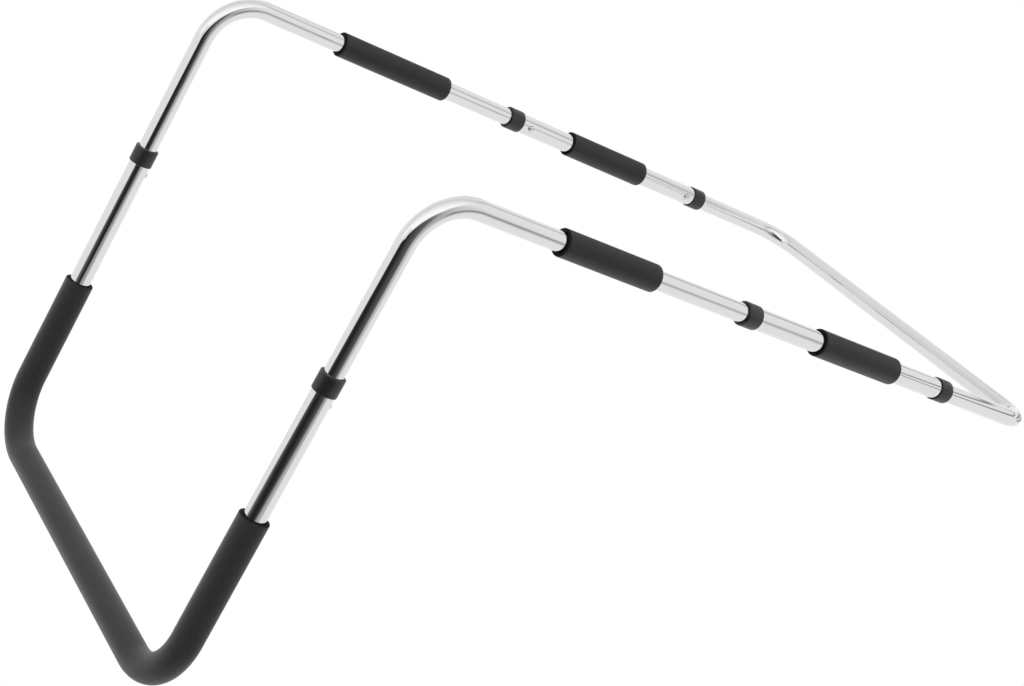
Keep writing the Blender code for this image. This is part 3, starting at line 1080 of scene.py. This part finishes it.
# From where a card is solid to where it is clear. The first two are how steep the line of sight
# from the elbows is, and the others are shares of the way from the card's middle to its edge.
cardFades = {
    "aboveElbows": (0.42, 0.68),
    "belowElbows": (-0.50, -0.57),
    "longEdges": (0.6, 1.0),
    "hollow": (0.55, 0.25),
    "drawnEdges": (0.75, 1.25),
}


def fadeToElbowHeights(tree):
    # clear well above and below the elbows
    place = addNode(tree, "ShaderNodeNewGeometry").outputs["Position"]
    away = addNode(
        tree, "ShaderNodeVectorMath", {"operation": "SUBTRACT"}, _0=place, _1=room["origin"]
    )
    sight = addNode(tree, "ShaderNodeVectorMath", {"operation": "NORMALIZE"}, _0=away.outputs[0])
    height = alongVector(tree, sight.outputs[0], room["up"])
    above = easeBetween(tree, height, *cardFades["aboveElbows"])
    below = easeBetween(tree, height, *cardFades["belowElbows"])
    return addMath(tree, "MAXIMUM", above, below)


def fadeToLongEdges(tree, along, across, card):
    # where the card is hollow, its middle is clear too, and two lines are left
    slope = (card["taper"] - 1) / 2
    half = addMath(tree, "MULTIPLY_ADD", along, slope, 0.5)
    share = addMath(tree, "DIVIDE", addMath(tree, "ABSOLUTE", across), half)
    edges = easeBetween(tree, share, *cardFades["longEdges"])
    if "hollow" not in card:
        return edges
    middle = easeBetween(tree, share, *cardFades["hollow"])
    past = easeBetween(tree, along, *card["hollow"])
    return addMath(tree, "MAXIMUM", edges, addMath(tree, "MULTIPLY", middle, past))


def fadeToDrawnEdges(tree, along, across, card):
    # soft on both sides of the drawn top and bottom
    top, bottom = (addRamp(tree, along, card[edge]) for edge in ("top", "bottom"))
    middle = addMath(tree, "ADD", top, bottom)
    whole = addMath(tree, "SUBTRACT", top, bottom)
    twice = addMath(tree, "MULTIPLY_ADD", across, 2.0, 1.0)
    far = addMath(tree, "ABSOLUTE", addMath(tree, "SUBTRACT", twice, middle))
    share = addMath(tree, "DIVIDE", far, whole)
    return easeBetween(tree, share, *cardFades["drawnEdges"])


def makeCardLook(name, card):
    made = bpy.data.materials.new(name)
    made.use_nodes = True
    made.cycles.emission_sampling = "NONE"
    tree = made.node_tree
    place = addNode(tree, "ShaderNodeSeparateXYZ", _0=surfacePlace(tree)).outputs
    along = addMath(tree, "ADD", place["X"], 0.5)
    if "taper" in card:
        fade = fadeToLongEdges(tree, along, place["Y"], card)
    elif "top" in card:
        fade = fadeToDrawnEdges(tree, along, place["Y"], card)
    else:
        fade = fadeToElbowHeights(tree)
    glow = addNode(
        tree, "ShaderNodeEmission",
        Color=addRamp(tree, along, card["stops"]), Strength=card.get("strength", 1.0),
    )
    surface = mixShaders(tree, fade, glow, addNode(tree, "ShaderNodeBsdfTransparent"))
    tree.links.new(surface.outputs[0], tree.nodes["Material Output"].inputs["Surface"])
    return made


def makeCards():
    for name, card in cards.items():
        deselectAll()
        bpy.ops.mesh.primitive_plane_add(size=1.0)
        board = bpy.context.object
        board.name = name
        across = card["second"] - card["first"]
        facing = across.cross(card["height"]).normalized()
        middle = (card["first"] + card["second"] + card["height"]) / 2
        turn = Matrix((across, card["height"], facing)).transposed().to_4x4()
        board.matrix_world = Matrix.Translation(middle) @ turn
        paint(board, makeCardLook(name, card))
        board.visible_camera = board.visible_diffuse = board.visible_shadow = False
        board.visible_transmission = False


lamps = {
    "overhead": {"at": (0.3, -0.2, 6.0), "size": 3.0, "watts": 150},
    "leftSoftbox": {"at": (-3.0, -1.4, 1.2), "size": 2.0, "watts": 5},
    "underSoftbox": {"at": (0.72, -1.9, -3.0), "size": 2.0, "watts": 72},
}
lampTarget = upward * 0.2


def makeLamps():
    for name, lamp in lamps.items():
        data = bpy.data.lights.new(name, "AREA")
        data.shape = "DISK"
        data.size = lamp["size"]
        data.energy = lamp["watts"]
        holder = bpy.data.objects.new(name, data)
        bpy.context.scene.collection.objects.link(holder)
        holder.location = lamp["at"]
        aim = lampTarget - Vector(lamp["at"])
        holder.rotation_euler = aim.to_track_quat("-Z", "Y").to_euler()
        holder.visible_glossy = False


# where the photograph was taken from, and the picture's three directions
cameraView = {
    "at": (-1.77243, -1.570836, -0.335684),
    "right": (-0.4690062, 0.7385217, -0.4843748),
    "up": (0.4760868, -0.2505272, -0.8429576),
    "back": (-0.7438915, -0.6259568, -0.2341016),
    "lens": 68.389,
    "sensor": 36.0,
    "nearest": 0.05,
    "farthest": 100.0,
}


def makeCamera():
    view = cameraView
    data = bpy.data.cameras.new("photoCamera")
    data.sensor_width = view["sensor"]
    data.lens = view["lens"]
    data.clip_start = view["nearest"]
    data.clip_end = view["farthest"]
    holder = bpy.data.objects.new("photoCamera", data)
    bpy.context.scene.collection.objects.link(holder)
    turn = Matrix([view[name] for name in ("right", "up", "back")]).transposed()
    holder.matrix_world = Matrix.Translation(view["at"]) @ turn.to_4x4()
    bpy.context.scene.camera = holder


makeFloor()
makeWorld()
makeCards()
makeLamps()
makeCamera()
bpy.context.scene.view_settings.view_transform = "Standard"
print("stage made")
